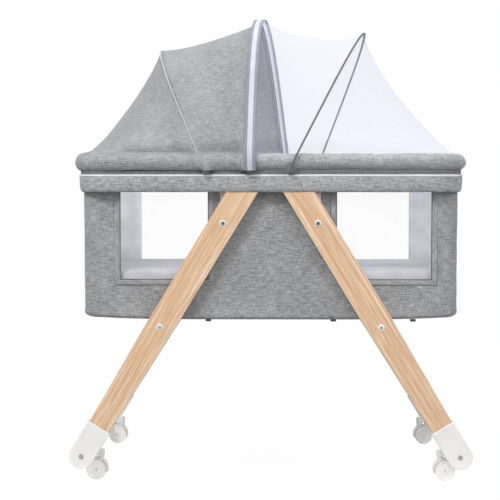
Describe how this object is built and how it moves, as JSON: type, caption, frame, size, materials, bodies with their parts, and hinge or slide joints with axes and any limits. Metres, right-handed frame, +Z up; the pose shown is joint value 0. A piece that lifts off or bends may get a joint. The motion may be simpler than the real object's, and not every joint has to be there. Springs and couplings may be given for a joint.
{
  "type": "bassinet on stand",
  "caption": "Oblong sewn bassinet with mesh windows and a padded rail, hung between folding wooden legs on casters, under a hooped canopy, half hood and half net.",
  "frame": {"origin": "on the floor under the middle of the bassinet", "axes": "+X along the length towards the net end, +Y to the rear, +Z up"},
  "size_m": [0.917, 0.5866, 1.0799],
  "materials": {
    "linen": "heathered weave",
    "net": "sheer net",
    "mesh": "open mesh",
    "piping": "plain",
    "ribbon": "zip tape",
    "mattress": "soft",
    "webbing": "woven",
    "board": "plain board",
    "wood": "straight grain, satin",
    "white_plastic": "satin",
    "wheel": "satin",
    "white_steel": "powder coat",
    "steel": "satin",
    "hoop": "satin"
  },
  "bodies": {
    "basket": {"rail_tube_left": "white_steel", "rail_tube_right": "white_steel", "rail_hub_front": "white_steel", "rail_hub_rear": "white_steel", "leg_bracket_fl": "white_steel", "leg_bracket_fr": "white_steel", "leg_bracket_rl": "white_steel", "leg_bracket_rr": "white_steel", "hoop_clips": "white_plastic", "rail_cover": "linen", "rail_skirt": "linen", "rail_piping": "piping", "basket_shell": "linen", "window_mesh_fl": "mesh", "window_mesh_fr": "mesh", "window_mesh_rl": "mesh", "window_mesh_rr": "mesh", "window_bindings": "linen", "base_frame": "white_steel", "base_board": "board", "mattress": "mattress", "base_tabs": "webbing", "pivot_bolts": "steel", "pivot_washers": "white_plastic", "centre_hoop": "hoop", "canopy_ribbon": "ribbon", "hood_fabric": "linen", "net_fabric": "net"},
    "leg_frame_left": {"leg_fl": "wood", "leg_rl": "wood", "foot_cap_fl": "white_plastic", "foot_cap_rl": "white_plastic", "brace_tube_left": "white_steel", "foot_tube_left": "white_steel", "leg_bolts_left": "steel", "brace_washers_left": "white_plastic", "caster_brackets_left": "white_plastic"},
    "leg_frame_right": {"leg_fr": "wood", "leg_rr": "wood", "foot_cap_fr": "white_plastic", "foot_cap_rr": "white_plastic", "brace_tube_right": "white_steel", "foot_tube_right": "white_steel", "leg_bolts_right": "steel", "brace_washers_right": "white_plastic", "caster_brackets_right": "white_plastic"},
    "caster_swivel_fl": {"caster_housing_fl": "white_plastic", "caster_axle_fl": "steel"},
    "caster_wheel_fl": {"caster_wheels_fl": "wheel"},
    "caster_swivel_fr": {"caster_housing_fr": "white_plastic", "caster_axle_fr": "steel"},
    "caster_wheel_fr": {"caster_wheels_fr": "wheel"},
    "caster_swivel_rl": {"caster_housing_rl": "white_plastic", "caster_axle_rl": "steel"},
    "caster_wheel_rl": {"caster_wheels_rl": "wheel"},
    "caster_swivel_rr": {"caster_housing_rr": "white_plastic", "caster_axle_rr": "steel"},
    "caster_wheel_rr": {"caster_wheels_rr": "wheel"},
    "hood_hoop_body": {"hood_hoop": "hoop"},
    "net_hoop_body": {"net_hoop": "hoop"}
  },
  "joints": [
    {"name": "leg_fold_left", "type": "hinge", "parent": "basket", "child": "leg_frame_left", "pos_m": [-0.1069, 0, 0.5937], "axis": [0, -1, 0], "range_deg": [0, 30]},
    {"name": "leg_fold_right", "type": "hinge", "parent": "basket", "child": "leg_frame_right", "pos_m": [0.1069, 0, 0.5937], "axis": [0, 1, 0], "range_deg": [0, 30]},
    {"name": "caster_turn_fl", "type": "hinge", "parent": "leg_frame_left", "child": "caster_swivel_fl", "pos_m": [-0.3916, -0.21, 0.0636], "axis": [0, 0, 1], "continuous": true},
    {"name": "caster_roll_fl", "type": "hinge", "parent": "caster_swivel_fl", "child": "caster_wheel_fl", "pos_m": [-0.402, -0.21, 0.023], "axis": [0, 1, 0], "continuous": true},
    {"name": "caster_turn_fr", "type": "hinge", "parent": "leg_frame_right", "child": "caster_swivel_fr", "pos_m": [0.3916, -0.21, 0.0636], "axis": [0, 0, 1], "continuous": true},
    {"name": "caster_roll_fr", "type": "hinge", "parent": "caster_swivel_fr", "child": "caster_wheel_fr", "pos_m": [0.402, -0.21, 0.023], "axis": [0, 1, 0], "continuous": true},
    {"name": "caster_turn_rl", "type": "hinge", "parent": "leg_frame_left", "child": "caster_swivel_rl", "pos_m": [-0.3916, 0.21, 0.0636], "axis": [0, 0, 1], "continuous": true},
    {"name": "caster_roll_rl", "type": "hinge", "parent": "caster_swivel_rl", "child": "caster_wheel_rl", "pos_m": [-0.402, 0.21, 0.023], "axis": [0, 1, 0], "continuous": true},
    {"name": "caster_turn_rr", "type": "hinge", "parent": "leg_frame_right", "child": "caster_swivel_rr", "pos_m": [0.3916, 0.21, 0.0636], "axis": [0, 0, 1], "continuous": true},
    {"name": "caster_roll_rr", "type": "hinge", "parent": "caster_swivel_rr", "child": "caster_wheel_rr", "pos_m": [0.402, 0.21, 0.023], "axis": [0, 1, 0], "continuous": true},
    {"name": "hood_hoop_fold", "type": "hinge", "parent": "basket", "child": "hood_hoop_body", "pos_m": [-0.10368, 0, 0.716], "axis": [0.1434, 0.9897, 0], "range_deg": [0, 22], "deforming": ["hood_fabric"]},
    {"name": "net_hoop_fold", "type": "hinge", "parent": "basket", "child": "net_hoop_body", "pos_m": [0.08186, 0, 0.716], "axis": [-0.1309, -0.9914, 0], "range_deg": [0, 20], "deforming": ["net_fabric"]}
  ]
}
